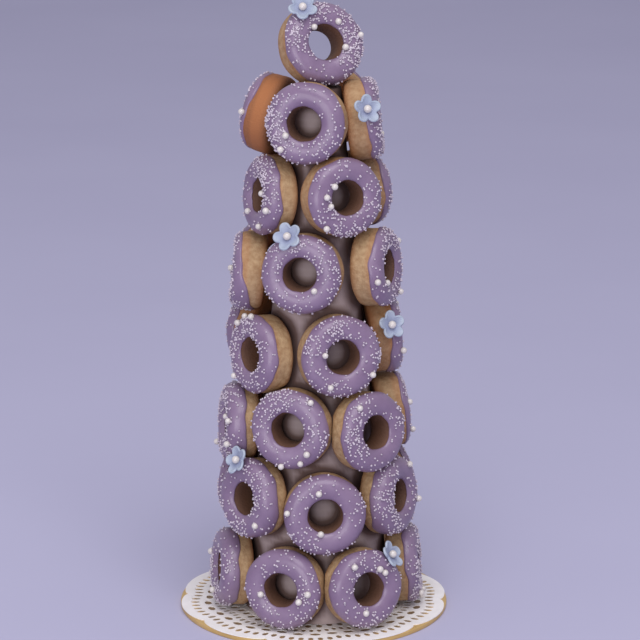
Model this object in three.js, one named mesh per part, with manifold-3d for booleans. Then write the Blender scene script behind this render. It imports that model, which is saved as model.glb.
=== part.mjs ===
// A tower of iced mini doughnuts: a slim white cone on a gold card and a scalloped paper doily, ringed by
// rows of doughnuts that face outwards, with one standing on top and sugar blossoms along the rims.
// Millimetres, +Z up. The origin is the middle of the card's underside. A doughnut's turn is its facing
// angle about +Z in degrees: 0 faces -Y, and a positive turn swings it towards +X.

import * as THREE from 'three';
import { mergeVertices } from 'three/addons/utils/BufferGeometryUtils.js';
import Module from 'manifold-3d';

const wasm = await Module();
wasm.setup();

// Driving dimensions

const GAP = 0.3; // between pieces that touch at an angle
const FLAT_GAP = 0.05; // between the flat layers of the base

const CARD_RADIUS = 76.2; // a 6 inch round
const CARD_THICKNESS = 2.6;
const CARD_BEVEL = 0.5;
const CARD_SIDES = 40;

const DOILY_THICKNESS = 0.4;
const DOILY_NOTCH_RADIUS = 72.3; // where two lobes meet
const LOBE_COUNT = 10;
const LOBE_RISE = 4.2; // how far a lobe's tip reaches beyond the notches
const LOBE_STEPS = 6;
const DOILY_TURN = 14.5; // degrees from +X to the middle of a lobe
const SLOTS_PER_LOBE = 5;
const SLOT_INSET = 9; // from the lobe's edge to the middle of a slot
const SLOT_LENGTH = 5;
const SLOT_WIDTH = 2;

const TOWER_X = 2; // the cone stands a little off the card's middle
const TOWER_Y = -5;
const CONE_HEIGHT = 297;
const CONE_BASE_RADIUS = 41.8;
const CONE_TOP_RADIUS = 13.2;
const CONE_SIDES = 32;

const DOUGHNUT_RADIUS = 22.7;
const HOLE_RADIUS = 7.6;
const DOUGHNUT_THICKNESS = 18.5;
const ICING_EDGE = 0.58; // share of the thickness, from the back, where the icing ends
const ICING_LIP = 0.8; // how far the icing stands proud of the dough
const DOUGHNUT_SIDES = 14;
const SIZE_SPREAD = 0.02;
const TILT_SPREAD = 1.5; // degrees

const PEARL_RADIUS = 1.8;
const PEARL_SINK = 0.35; // share of the radius that is sunk into the icing
const PEARLS_EACH = 1;

const BLOSSOM_RADIUS = 8.4;
const BLOSSOM_THICKNESS = 1.3;
const BLOSSOM_CUP = 2.2; // how far the petals' tips rise
const PETALS = 5;
const STEPS_PER_PETAL = 4;
const NOTCH_SHARE = 0.6; // of the blossom's radius left between two petals
const BLOSSOM_PEARL_RADIUS = 2.2;

// Rows from the bottom up. height is the row's centre line above the card's underside, count the whole
// row. set lists the doughnuts that have a place of their own, those of the front and sides first, as
// [turn, rise above the centre line, extra lean back in degrees], in the order in which they are pressed
// on. The rest share the back evenly.
const ROWS = [
  { height: 26.8, count: 6, set: [[-21, 0], [29, 0], [-78, 0], [86, 0]] },
  { height: 71.5, count: 6, set: [[5, -2], [-50, 2.5], [63, 1]] },
  { height: 113.5, count: 6, set: [[-20, 3], [40, 0], [-80, -2], [101, 1]] },
  { height: 156, count: 5, set: [[19, 1], [-57, -2], [97, 4.5], [-122, 4]] },
  { height: 201.5, count: 5, set: [[-14, 1], [70, 0], [-88, -4], [148, -5], [213, -4]] },
  { height: 242.5, count: 4, set: [[28, 1], [-67, -1], [124, -2]] },
  { height: 284, count: 4, set: [[-13, 0], [88, -2, 2], [-114, -1, 5]] },
];
const TOP_TURN = 24;
const TOP_LEAN = 18; // degrees back from upright
const TOP_SIZE = 1.02; // the top doughnut is a little larger than the rest
const TOP_SHIFT = 2; // towards +X from the cone's axis

// Blossoms: row (0 is the bottom, ROWS.length the top doughnut), place in that row, clock angle on the
// rim in degrees from the doughnut's right, lean from facing with the doughnut to facing off its rim.
const BLOSSOMS = [
  { row: 7, place: 0, clock: 121, lean: 28, spin: 10 },
  { row: 6, place: 1, clock: 158, lean: 62, spin: 0 },
  { row: 4, place: 0, clock: 108, lean: 25, spin: 25 },
  { row: 3, place: 2, clock: 158, lean: 68, spin: 5 },
  { row: 1, place: 1, clock: 98, lean: 20, spin: 40 },
  { row: 0, place: 1, clock: 46, lean: 42, spin: 60 },
  { row: 5, place: 3, clock: 70, lean: 40, spin: 15 },
  { row: 4, place: 3, clock: 60, lean: 45, spin: 50 },
  { row: 2, place: 4, clock: 110, lean: 40, spin: 30 },
  { row: 0, place: 5, clock: 75, lean: 45, spin: 20 },
];

// Layers of the base, worked out from the sizes above

const DOILY_BOTTOM = CARD_THICKNESS + FLAT_GAP;
const CONE_BOTTOM = DOILY_BOTTOM + DOILY_THICKNESS + FLAT_GAP;
const CONE_TOP = CONE_BOTTOM + CONE_HEIGHT;
const CONE_SLOPE = Math.atan((CONE_BASE_RADIUS - CONE_TOP_RADIUS) / CONE_HEIGHT);

const radians = THREE.MathUtils.degToRad;

const paint = (color, roughness, metalness = 0) =>
  new THREE.MeshStandardMaterial({ color, roughness, metalness });
const gold = paint(0xc9a050, 0.35, 0.6);
const paper = paint(0xeae4e4, 0.85);
const foam = paint(0xe4dfe4, 0.9);
const icing = paint(0x9d84b4, 0.45);
const sugar = paint(0xaec2de, 0.6);

// A seeded source of numbers from 0 to 1, so that every build is the same.
function randomSource(seed) {
  let state = seed;
  return () => {
    state = (state + 0x6d2b79f5) | 0;
    let mixed = Math.imul(state ^ (state >>> 15), 1 | state);
    mixed = (mixed + Math.imul(mixed ^ (mixed >>> 7), 61 | mixed)) ^ mixed;
    return ((mixed ^ (mixed >>> 14)) >>> 0) / 4294967296;
  };
}

// Solids: three.js makes the shapes, and small toppings are fused on

function positionsOnly(geometry) {
  const bare = geometry.clone();
  bare.deleteAttribute('normal');
  bare.deleteAttribute('uv');
  return mergeVertices(bare, 1e-4);
}

function solidFrom(geometry) {
  const bare = positionsOnly(geometry);
  const vertProperties = new Float32Array(bare.attributes.position.array);
  const triVerts = new Uint32Array(bare.index.array);
  return new wasm.Manifold(new wasm.Mesh({ numProp: 3, vertProperties, triVerts }));
}

function fuse(base, toppings) {
  const whole = toppings.reduce((sum, topping) => sum.add(solidFrom(topping)), solidFrom(base));
  const { vertProperties, triVerts } = whole.getMesh();
  const fused = new THREE.BufferGeometry();
  fused.setAttribute('position', new THREE.BufferAttribute(vertProperties, 3));
  fused.setIndex(new THREE.BufferAttribute(triVerts, 1));
  fused.computeVertexNormals();
  return fused;
}

const pearlAt = (centre, radius) =>
  new THREE.IcosahedronGeometry(radius, 0).translate(centre.x, centre.y, centre.z);

// [distance from the axis, height] pairs turned about +Z: lathed from axis to axis, spun as a closed loop.
function lathed(outline, sides) {
  const points = outline.map(([x, y]) => new THREE.Vector2(x, y));
  return positionsOnly(new THREE.LatheGeometry(points, sides)).rotateX(Math.PI / 2);
}

const spun = (outline, sides) => lathed([...outline, outline[0]], sides);

// The base: card, doily and cone

function cardGeometry() {
  const inner = CARD_RADIUS - CARD_BEVEL;
  const outline = [
    [0, 0],
    [inner, 0],
    [CARD_RADIUS, CARD_BEVEL],
    [CARD_RADIUS, CARD_THICKNESS - CARD_BEVEL],
    [inner, CARD_THICKNESS],
    [0, CARD_THICKNESS],
  ];
  return lathed(outline, CARD_SIDES);
}

// The doily's edge: round lobes that meet in notches.
function doilyEdge(angle) {
  const lobe = (2 * Math.PI) / LOBE_COUNT;
  const across = (((angle / lobe) % 1) + 1) % 1;
  return DOILY_NOTCH_RADIUS + LOBE_RISE * Math.sqrt(Math.sin(Math.PI * across));
}

const polar = (radius, angle) => [radius * Math.cos(angle), radius * Math.sin(angle)];

// A lens-shaped slot that points outwards.
function lacePiercing(angle) {
  const middle = doilyEdge(angle) - SLOT_INSET;
  const slot = new THREE.Path();
  const sideways = SLOT_WIDTH / 2 / middle;
  slot.moveTo(...polar(middle + SLOT_LENGTH / 2, angle));
  slot.lineTo(...polar(middle, angle + sideways));
  slot.lineTo(...polar(middle - SLOT_LENGTH / 2, angle));
  slot.lineTo(...polar(middle, angle - sideways));
  slot.closePath();
  return slot;
}

function doilyGeometry() {
  const edge = new THREE.Shape();
  const steps = LOBE_COUNT * LOBE_STEPS;
  for (let i = 0; i < steps; i += 1) {
    const angle = (2 * Math.PI * i) / steps;
    const point = polar(doilyEdge(angle), angle);
    if (i === 0) edge.moveTo(...point);
    else edge.lineTo(...point);
  }
  edge.closePath();
  const slots = LOBE_COUNT * SLOTS_PER_LOBE;
  for (let i = 0; i < slots; i += 1) {
    edge.holes.push(lacePiercing((2 * Math.PI * (i + 0.5)) / slots));
  }
  const sheet = new THREE.ExtrudeGeometry(edge, { depth: DOILY_THICKNESS, bevelEnabled: false });
  return positionsOnly(sheet).rotateZ(radians(DOILY_TURN) - Math.PI / LOBE_COUNT);
}

const coneOutline = [
  [0, CONE_BOTTOM],
  [CONE_BASE_RADIUS, CONE_BOTTOM],
  [CONE_TOP_RADIUS, CONE_TOP],
  [0, CONE_TOP],
];

// Doughnuts: a ring with a flat back, a rounded iced front and a lip where the icing ends

function doughnutOutline(size) {
  const outer = DOUGHNUT_RADIUS * size;
  const hole = HOLE_RADIUS * size;
  const width = outer - hole;
  const deep = DOUGHNUT_THICKNESS * size;
  const outline = [
    [hole + 0.28 * width, 0],
    [outer - 0.25 * width, 0],
    [outer - ICING_LIP, 0.3 * deep],
    [outer - ICING_LIP, ICING_EDGE * deep - ICING_LIP],
    [outer, ICING_EDGE * deep],
    [outer - 0.17 * width, 0.88 * deep],
    [hole + 0.5 * width, deep],
    [hole + 0.17 * width, 0.88 * deep],
    [hole, 0.52 * deep],
  ];
  return outline.map(([x, y]) => [x, y - deep / 2]);
}

const ICED_EDGES = [5, 6]; // the outline's edges on the front, where pearls lie

// The slow waves that keep each ring from being a true circle.
function ringShape(random, scale = 1) {
  const size = scale + SIZE_SPREAD * (2 * random() - 1);
  const waves = [
    { count: 2, depth: 0.01, phase: 2 * Math.PI * random() },
    { count: 3, depth: 0.006, phase: 2 * Math.PI * random() },
  ];
  return { size, waves, outline: doughnutOutline(size) };
}

const swell = (shape, angle) =>
  shape.waves.reduce((sum, wave) => sum + wave.depth * Math.cos(wave.count * angle + wave.phase), 1);

function ringGeometry(shape, outline, sides) {
  const ring = spun(outline, sides);
  const places = ring.attributes.position;
  for (let i = 0; i < places.count; i += 1) {
    const grow = swell(shape, Math.atan2(places.getY(i), places.getX(i)));
    places.setXY(i, places.getX(i) * grow, places.getY(i) * grow);
  }
  return ring;
}

// Every edge of an outline cut in three, for finding where a ring touches its neighbours.
function finerOutline(outline) {
  return outline.flatMap(([x, y], i) => {
    const [nextX, nextY] = outline[(i + 1) % outline.length];
    return [0, 1 / 3, 2 / 3].map((t) => [x + t * (nextX - x), y + t * (nextY - y)]);
  });
}

const TOUCH_SIDES = 48;

function pointsOf(geometry) {
  const places = geometry.attributes.position;
  return Array.from({ length: places.count }, (_, i) => new THREE.Vector3().fromBufferAttribute(places, i));
}

// Points spread over every triangle of a closed shape.
const SPREAD = 5;

function spreadPoints(geometry) {
  const corners = pointsOf(geometry);
  const order = geometry.index.array;
  const points = [];
  for (let i = 0; i < order.length; i += 3) {
    const [a, b, c] = [corners[order[i]], corners[order[i + 1]], corners[order[i + 2]]];
    for (let j = 0; j <= SPREAD; j += 1) {
      for (let k = 0; k <= SPREAD - j; k += 1) {
        const point = a.clone().multiplyScalar(1 - (j + k) / SPREAD);
        points.push(point.addScaledVector(b, j / SPREAD).addScaledVector(c, k / SPREAD));
      }
    }
  }
  return points;
}

// Touch: how far a point is from a spun outline, below zero inside it

function outlineDistance(outline, x, y) {
  let nearest = Infinity;
  let inside = false;
  outline.forEach(([ax, ay], i) => {
    const [bx, by] = outline[(i + 1) % outline.length];
    const [dx, dy] = [bx - ax, by - ay];
    const share = THREE.MathUtils.clamp(((x - ax) * dx + (y - ay) * dy) / (dx * dx + dy * dy || 1), 0, 1);
    nearest = Math.min(nearest, Math.hypot(x - ax - share * dx, y - ay - share * dy));
    if (ay > y !== by > y && x < ax + ((y - ay) / dy) * dx) inside = !inside;
  });
  return inside ? -nearest : nearest;
}

function distanceTo(body, point) {
  const local = point.clone().applyMatrix4(body.inverse);
  const grow = body.shape ? swell(body.shape, Math.atan2(local.y, local.x)) : 1;
  return outlineDistance(body.outline, Math.hypot(local.x, local.y) / grow, local.z);
}

function clearance(points, bodies) {
  let least = Infinity;
  for (const body of bodies) {
    for (const point of points) least = Math.min(least, distanceTo(body, point));
  }
  return least;
}

// Slides a frame along a direction until its surface points come within the gap of a body.
function pressOn(frame, points, direction, reach, bodies) {
  const middle = new THREE.Vector3().setFromMatrixPosition(frame);
  const near = bodies.filter((b) => !b.shape || b.middle.distanceTo(middle) < reach + 3 * DOUGHNUT_RADIUS);
  const placed = points.map((p) => p.clone().applyMatrix4(frame));
  let travel = 0;
  let step = clearance(placed, near) - GAP;
  while (step > GAP / 30 && travel < reach) {
    placed.forEach((p) => p.addScaledVector(direction, step));
    travel += step;
    step = clearance(placed, near) - GAP;
  }
  return new THREE.Matrix4().makeTranslation(direction.clone().multiplyScalar(travel)).multiply(frame);
}

// Slides a frame the other way, outwards, until its surface points are clear of the bodies.
function easeOff(frame, points, direction, reach, bodies) {
  const middle = new THREE.Vector3().setFromMatrixPosition(frame);
  const near = bodies.filter((b) => b.middle.distanceTo(middle) < reach + 2 * DOUGHNUT_RADIUS);
  if (near.length === 0) return frame;
  const placed = points.map((p) => p.clone().applyMatrix4(frame));
  let travel = 0;
  let lack = GAP - clearance(placed, near);
  while (lack > 0 && travel < reach) {
    const step = Math.max(lack / 2, GAP / 2);
    placed.forEach((p) => p.addScaledVector(direction, step));
    travel += step;
    lack = GAP - clearance(placed, near);
  }
  return new THREE.Matrix4().makeTranslation(direction.clone().multiplyScalar(travel)).multiply(frame);
}

// A frame whose Z axis faces out at a turn and a tilt, with its X axis level, to the facing side's right.
function facingFrame(turn, tilt, middle) {
  const right = new THREE.Vector3(Math.cos(turn), Math.sin(turn), 0);
  const out = new THREE.Vector3(
    Math.sin(turn) * Math.cos(tilt),
    -Math.cos(turn) * Math.cos(tilt),
    Math.sin(tilt),
  );
  const up = new THREE.Vector3().crossVectors(out, right);
  return new THREE.Matrix4().makeBasis(right, up, out).setPosition(middle);
}

// Turns and rises of a whole row: those that are set, then the rest evenly round the back.
function wholeRow({ count, set }) {
  const turns = set.map(([turn]) => turn);
  const start = Math.max(...turns);
  const arc = Math.min(...turns) + 360 - start;
  const behind = count - set.length;
  const back = Array.from({ length: behind }, (_, i) => [start + (arc * (i + 1)) / (behind + 1), 0]);
  return [...set, ...back];
}

const START_DISTANCE = 90; // from the axis, before a doughnut is pressed on

function ringBody(name, shape, frame) {
  const middle = new THREE.Vector3().setFromMatrixPosition(frame);
  return { name, shape, outline: shape.outline, frame, inverse: frame.clone().invert(), middle };
}

const touchPoints = (shape) => pointsOf(ringGeometry(shape, finerOutline(shape.outline), TOUCH_SIDES));

// One doughnut of a row: pressed on to the cone, then eased off the rings that are there already.
function sideDoughnut(name, [degrees, rise, lean = 0], height, random, cone, rings) {
  const shape = ringShape(random);
  const points = touchPoints(shape);
  const turn = radians(degrees);
  const tilt = CONE_SLOPE + radians(lean + TILT_SPREAD * (2 * random() - 1));
  const outwards = new THREE.Vector3(Math.sin(turn), -Math.cos(turn), 0);
  const start = outwards.clone().multiplyScalar(START_DISTANCE).setZ(height + rise);
  const inwards = outwards.clone().negate();
  const pressed = pressOn(facingFrame(turn, tilt, start), points, inwards, START_DISTANCE, [cone]);
  return ringBody(name, shape, easeOff(pressed, points, outwards, DOUGHNUT_RADIUS, rings));
}

// The doughnut that stands on the cone's top, let down until it rests.
function topDoughnut(random, bodies) {
  const shape = ringShape(random, TOP_SIZE);
  const start = new THREE.Vector3(TOP_SHIFT, 0, CONE_TOP + START_DISTANCE);
  const frame = facingFrame(radians(TOP_TURN), radians(TOP_LEAN), start);
  const down = new THREE.Vector3(0, 0, -1);
  return ringBody('doughnut_top', shape, pressOn(frame, touchPoints(shape), down, START_DISTANCE, bodies));
}

function placeDoughnuts() {
  const cone = { outline: coneOutline, inverse: new THREE.Matrix4() };
  const random = randomSource(20);
  const rings = [];
  const rows = ROWS.map((row, rowIndex) =>
    wholeRow(row).map((setting, place) => {
      const name = `doughnut_${rowIndex + 1}_${place + 1}`;
      const ring = sideDoughnut(name, setting, row.height, random, cone, rings);
      rings.push(ring);
      return ring;
    }),
  );
  const top = topDoughnut(random, [cone, ...rings]);
  return { rows: [...rows, [top]], bodies: [cone, ...rings, top] };
}

// Blossoms: five cupped petals round a pearl

function blossomGeometry() {
  const sides = PETALS * STEPS_PER_PETAL;
  const disc = new THREE.CylinderGeometry(1, 1, BLOSSOM_THICKNESS, sides).rotateX(Math.PI / 2);
  const petals = positionsOnly(disc);
  const places = petals.attributes.position;
  for (let i = 0; i < places.count; i += 1) {
    const [x, y, z] = [places.getX(i), places.getY(i), places.getZ(i)];
    const angle = Math.atan2(y, x);
    const bulge = Math.sqrt(Math.abs(Math.cos((PETALS * angle) / 2)));
    const reach = BLOSSOM_RADIUS * (NOTCH_SHARE + (1 - NOTCH_SHARE) * bulge) * Math.hypot(x, y);
    const cup = BLOSSOM_CUP * (reach / BLOSSOM_RADIUS) ** 2;
    places.setXYZ(i, reach * Math.cos(angle), reach * Math.sin(angle), z + BLOSSOM_THICKNESS / 2 + cup);
  }
  const pearlHeight = BLOSSOM_THICKNESS + BLOSSOM_PEARL_RADIUS * (1 - PEARL_SINK);
  return fuse(petals, [pearlAt(new THREE.Vector3(0, 0, pearlHeight), BLOSSOM_PEARL_RADIUS)]);
}

const BLOSSOM_SEAT = 0.8; // of the doughnut's radius, where a blossom touches it

function placeBlossoms(rows, bodies, points) {
  return BLOSSOMS.map(({ row, place, clock, lean, spin }, i) => {
    const ring = rows[row][place];
    const right = new THREE.Vector3();
    const up = new THREE.Vector3();
    const out = new THREE.Vector3();
    ring.frame.extractBasis(right, up, out);
    const rim = right.multiplyScalar(Math.cos(radians(clock))).addScaledVector(up, Math.sin(radians(clock)));
    const facing = out.clone().multiplyScalar(Math.cos(radians(lean)));
    facing.addScaledVector(rim, Math.sin(radians(lean)));
    const middle = ring.middle.clone().addScaledVector(rim, BLOSSOM_SEAT * DOUGHNUT_RADIUS);
    middle.addScaledVector(facing, 2 * DOUGHNUT_THICKNESS);
    const side = new THREE.Vector3().crossVectors(rim, out).normalize();
    const along = new THREE.Vector3().crossVectors(facing, side);
    const frame = new THREE.Matrix4().makeBasis(side, along, facing).setPosition(middle);
    frame.multiply(new THREE.Matrix4().makeRotationZ(radians(spin)));
    const inwards = facing.clone().negate();
    const resting = pressOn(frame, points, inwards, 2 * DOUGHNUT_THICKNESS, bodies);
    const seat = new THREE.Vector3().setFromMatrixPosition(resting);
    return { name: `blossom_${i + 1}`, frame: resting, middle: seat };
  });
}

// Pearls that lie on a doughnut's icing, clear of its neighbours and of the blossoms.
const PEARL_TRIES = 40;
const PEARL_ROOM = PEARL_RADIUS + 2 * GAP;
const PEARL_NEIGHBOURS = 3 * DOUGHNUT_RADIUS; // rings further off than this can't be touched

function pearlsOn(ring, bodies, blossoms, random) {
  const isNear = (body) => !body.middle || body.middle.distanceTo(ring.middle) < PEARL_NEIGHBOURS;
  const others = bodies.filter((body) => body !== ring && isNear(body));
  const spots = [];
  for (let i = 0; i < PEARL_TRIES && spots.length < PEARLS_EACH; i += 1) {
    const angle = 2 * Math.PI * random();
    const edge = ICED_EDGES[Math.floor(random() * ICED_EDGES.length)];
    const share = 0.3 + 0.4 * random();
    const [ax, ay] = ring.outline[edge];
    const [bx, by] = ring.outline[edge + 1];
    const lift = (PEARL_RADIUS * (1 - PEARL_SINK)) / Math.hypot(bx - ax, by - ay);
    const out = (ax + share * (bx - ax) + lift * (by - ay)) * swell(ring.shape, angle);
    const high = ay + share * (by - ay) - lift * (bx - ax);
    const local = new THREE.Vector3(out * Math.cos(angle), out * Math.sin(angle), high);
    const world = local.clone().applyMatrix4(ring.frame);
    const roomy =
      clearance([world], others) > PEARL_ROOM &&
      blossoms.every((b) => b.middle.distanceTo(world) > BLOSSOM_RADIUS + BLOSSOM_CUP + PEARL_ROOM) &&
      spots.every((s) => s.distanceTo(local) > 3 * PEARL_RADIUS);
    if (roomy) spots.push(local);
  }
  return spots;
}

// Assembly

function part(name, geometry, material, frame) {
  const mesh = new THREE.Mesh(geometry, material);
  mesh.name = name;
  if (frame) frame.decompose(mesh.position, mesh.quaternion, mesh.scale);
  return mesh;
}

function buildTower() {
  const tower = new THREE.Group();
  tower.position.set(TOWER_X, TOWER_Y, 0);
  tower.add(part('cone', lathed(coneOutline, CONE_SIDES), foam));

  const { rows, bodies } = placeDoughnuts();
  const petals = blossomGeometry();
  const blossoms = placeBlossoms(rows, bodies, spreadPoints(petals));
  const random = randomSource(7);
  rows.flat().forEach((ring) => {
    const bare = ringGeometry(ring.shape, ring.outline, DOUGHNUT_SIDES);
    const pearls = pearlsOn(ring, bodies, blossoms, random).map((spot) => pearlAt(spot, PEARL_RADIUS));
    tower.add(part(ring.name, fuse(bare, pearls), icing, ring.frame));
  });
  blossoms.forEach(({ name, frame }) => tower.add(part(name, petals.clone(), sugar, frame)));
  return tower;
}

const object = new THREE.Group();
object.add(part('card', cardGeometry(), gold));
const doily = part('doily', doilyGeometry(), paper);
doily.position.z = DOILY_BOTTOM;
object.add(doily, buildTower());

export default object;
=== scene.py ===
# %% [markdown]
# # A tower of iced mini doughnuts
# Small doughnuts with lilac icing stand in rows round a slim foam cone. Sugar blossoms sit on some rims,
# and the cone stands on a paper doily and a gold card. The plain solids of the part give the place and
# the form of every piece. Here each one gets the surface that the eye expects: a soft baked ring, icing
# with an uneven edge, scattered sugar beads, petals and pierced paper.

# %% Load the solids
import math

import bpy
import numpy as np
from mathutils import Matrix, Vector
from mathutils.bvhtree import BVHTree


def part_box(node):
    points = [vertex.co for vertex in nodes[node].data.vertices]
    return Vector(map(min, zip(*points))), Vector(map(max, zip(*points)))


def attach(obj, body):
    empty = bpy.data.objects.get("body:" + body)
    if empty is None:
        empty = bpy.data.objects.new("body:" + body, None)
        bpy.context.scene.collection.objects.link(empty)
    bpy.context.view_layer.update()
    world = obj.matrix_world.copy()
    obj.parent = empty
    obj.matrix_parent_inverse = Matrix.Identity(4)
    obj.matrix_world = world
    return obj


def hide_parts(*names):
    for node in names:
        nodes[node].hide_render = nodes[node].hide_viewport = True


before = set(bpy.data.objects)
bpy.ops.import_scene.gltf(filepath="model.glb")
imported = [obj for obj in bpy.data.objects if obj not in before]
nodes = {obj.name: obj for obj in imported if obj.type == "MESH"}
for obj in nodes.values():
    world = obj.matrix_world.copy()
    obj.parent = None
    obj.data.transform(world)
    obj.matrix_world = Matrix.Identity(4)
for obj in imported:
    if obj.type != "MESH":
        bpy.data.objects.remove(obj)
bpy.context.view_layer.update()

MM = 0.001
ring_names = sorted(name for name in nodes if name.startswith("doughnut"))
blossom_names = sorted(name for name in nodes if name.startswith("blossom"))
print(len(ring_names), "doughnuts and", len(blossom_names), "blossoms to dress")

# %% [markdown]
# ## Small tools
# Modelling by operators always acts on the selection, so each new piece starts from an empty selection.
# A finished piece keeps its place in its vertices, and its object stays at the origin. Node positions are
# read into numpy arrays, because thousands of points are then moved in one line. Named lengths are in
# millimetres, and MM turns them into metres.


# %% Selection, meshes and materials
def start_clean():
    if bpy.context.object and bpy.context.object.mode != "OBJECT":
        bpy.ops.object.mode_set(mode="OBJECT")
    bpy.ops.object.select_all(action="DESELECT")


def make_active(piece):
    start_clean()
    piece.select_set(True)
    bpy.context.view_layer.objects.active = piece


def bake_place(piece):
    """Puts an object's place into its mesh, so that the object itself sits at the origin."""
    make_active(piece)
    bpy.ops.object.transform_apply(location=True, rotation=True, scale=True)


def add_and_apply(piece, kind, **settings):
    make_active(piece)
    modifier = piece.modifiers.new(kind.title(), kind)
    for name, value in settings.items():
        setattr(modifier, name, value)
    bpy.ops.object.modifier_apply(modifier=modifier.name)


def smooth(piece):
    make_active(piece)
    bpy.ops.object.shade_smooth()


def points_of(mesh):
    flat = np.empty(len(mesh.vertices) * 3)
    mesh.vertices.foreach_get("co", flat)
    return flat.reshape(-1, 3)


def set_points(mesh, points):
    mesh.vertices.foreach_set("co", np.asarray(points).ravel())
    mesh.update()


def finish_piece(piece, slot, material, *replaced):
    piece.data.materials.clear()
    piece.data.materials.append(material)
    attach(piece, "root")
    if replaced:
        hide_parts(*replaced)


# %% [markdown]
# ## Materials
# Every finish is a few nodes on the Principled shader. A slow noise shifts the colour a little and a fine
# one makes the bump, because food and paper are never one flat colour. The noise reads Object coordinates
# in metres, so its scale is the same on every piece. Where a mesh has its own values for crust and shade,
# they mix in two more colours: a baked crust on the dough, with painted shade in its hole, and painted
# shade on the foil, the cone and the petals.


# %% A material with a mottled colour and a fine bump
NOISE_RANGE = (0.3, 0.7)  # most of the noise lies between these values
BLOTCH_DETAIL = 4
GRAIN_DETAIL = 3
BUMP_DEPTH = 0.5
MIDDLE_OF_MIX = 0.5


def noise_node(tree, place, scale, detail):
    noise = tree.nodes.new("ShaderNodeTexNoise")
    noise.inputs["Scale"].default_value = scale
    noise.inputs["Detail"].default_value = detail
    tree.links.new(place.outputs["Object"], noise.inputs["Vector"])
    return noise.outputs["Fac"]


def mottled(name, dark, light, blotch, grain, bump, **shader_values):
    material = bpy.data.materials.new(name)
    material.use_nodes = True
    tree = material.node_tree
    shader = tree.nodes["Principled BSDF"]
    for socket, value in shader_values.items():
        shader.inputs[socket.replace("_", " ")].default_value = value
    place = tree.nodes.new("ShaderNodeTexCoord")
    spread = tree.nodes.new("ShaderNodeMapRange")
    spread.inputs["From Min"].default_value = NOISE_RANGE[0]
    spread.inputs["From Max"].default_value = NOISE_RANGE[1]
    tint = tree.nodes.new("ShaderNodeMix")
    tint.data_type = "RGBA"
    tint.inputs["A"].default_value = (*dark, 1)
    tint.inputs["B"].default_value = (*light, 1)
    relief = tree.nodes.new("ShaderNodeBump")
    relief.inputs["Strength"].default_value = bump
    relief.inputs["Distance"].default_value = BUMP_DEPTH * MM
    tree.links.new(noise_node(tree, place, blotch, BLOTCH_DETAIL), spread.inputs["Value"])
    tree.links.new(spread.outputs["Result"], tint.inputs["Factor"])
    tree.links.new(tint.outputs["Result"], shader.inputs["Base Color"])
    tree.links.new(noise_node(tree, place, grain, GRAIN_DETAIL), relief.inputs["Height"])
    tree.links.new(relief.outputs["Normal"], shader.inputs["Normal"])
    return material


def mix_crust_and_painted_shade(material, middle, last):
    """Mixes in two colours by a mesh's crust-and-shade value: none at 0, the middle at 0.5, the last at 1.
    """
    tree = material.node_tree
    shader = tree.nodes["Principled BSDF"]
    so_far = shader.inputs["Base Color"].links[0].from_socket
    amount = tree.nodes.new("ShaderNodeAttribute")
    amount.attribute_name = "crust_and_painted_shade"
    for colour, start in ((middle, 0.0), (last, MIDDLE_OF_MIX)):
        share = tree.nodes.new("ShaderNodeMapRange")
        share.inputs["From Min"].default_value = start
        share.inputs["From Max"].default_value = start + MIDDLE_OF_MIX
        mix = tree.nodes.new("ShaderNodeMix")
        mix.data_type = "RGBA"
        mix.inputs["B"].default_value = (*colour, 1)
        tree.links.new(amount.outputs["Fac"], share.inputs["Value"])
        tree.links.new(share.outputs["Result"], mix.inputs["Factor"])
        tree.links.new(so_far, mix.inputs["A"])
        so_far = mix.outputs["Result"]
    tree.links.new(so_far, shader.inputs["Base Color"])


icing_look = mottled(
    "lilac icing",
    (0.199, 0.129, 0.219),
    (0.252, 0.173, 0.272),
    blotch=90,
    grain=170,
    bump=0.35,
    Roughness=0.36,
    Coat_Weight=0.12,
)
dough_look = mottled(
    "baked dough",
    (0.32, 0.187, 0.09),
    (0.475, 0.318, 0.175),
    blotch=380,
    grain=900,
    bump=0.6,
    Roughness=0.75,
)
# The darker colours are baked crust; the darkest fills the holes, partly as crust and partly as painted
# shade.
mix_crust_and_painted_shade(dough_look, (0.37, 0.135, 0.045), (0.105, 0.046, 0.026))
bead_look = mottled(
    "white sugar beads",
    (0.48, 0.41, 0.49),
    (0.645, 0.565, 0.635),
    blotch=300,
    grain=900,
    bump=0.02,
    Roughness=0.5,
)
pearl_look = mottled(
    "cream pearls",
    (0.60, 0.55, 0.52),
    (0.70, 0.65, 0.62),
    blotch=300,
    grain=900,
    bump=0.01,
    Roughness=0.28,
    Coat_Weight=0.3,
)
petal_look = mottled(
    "blue sugar paste",
    (0.335, 0.385, 0.48),
    (0.46, 0.51, 0.578),
    blotch=200,
    grain=900,
    bump=0.06,
    Roughness=0.55,
)
paper_look = mottled(
    "doily paper",
    (0.83, 0.79, 0.78),
    (0.90, 0.86, 0.86),
    blotch=120,
    grain=1500,
    bump=0.1,
    Roughness=0.85,
)
# The foam is white; its colour here is darker as painted shade.
foam_look = mottled(
    "foam in shade",
    (0.42, 0.33, 0.325),
    (0.48, 0.38, 0.375),
    blotch=60,
    grain=700,
    bump=0.15,
    Roughness=0.9,
)
gold_look = mottled(
    "gold foil",
    (0.56, 0.36, 0.125),
    (0.68, 0.46, 0.18),
    blotch=40,
    grain=600,
    bump=0.05,
    Roughness=0.42,
    Metallic=0.3,
)
# Painted shade on the foil that lies under the paper.
mix_crust_and_painted_shade(gold_look, (0.42, 0.26, 0.10), (0.26, 0.16, 0.07))
# Painted shade, darker towards the cupped middle of each blossom.
mix_crust_and_painted_shade(petal_look, (0.29, 0.325, 0.455), (0.21, 0.215, 0.36))
# Painted shade on the foam near the doughnuts, tinted by light off the dough.
mix_crust_and_painted_shade(foam_look, (0.135, 0.08, 0.07), (0.055, 0.03, 0.025))
print("materials ready:", len(bpy.data.materials))
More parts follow.
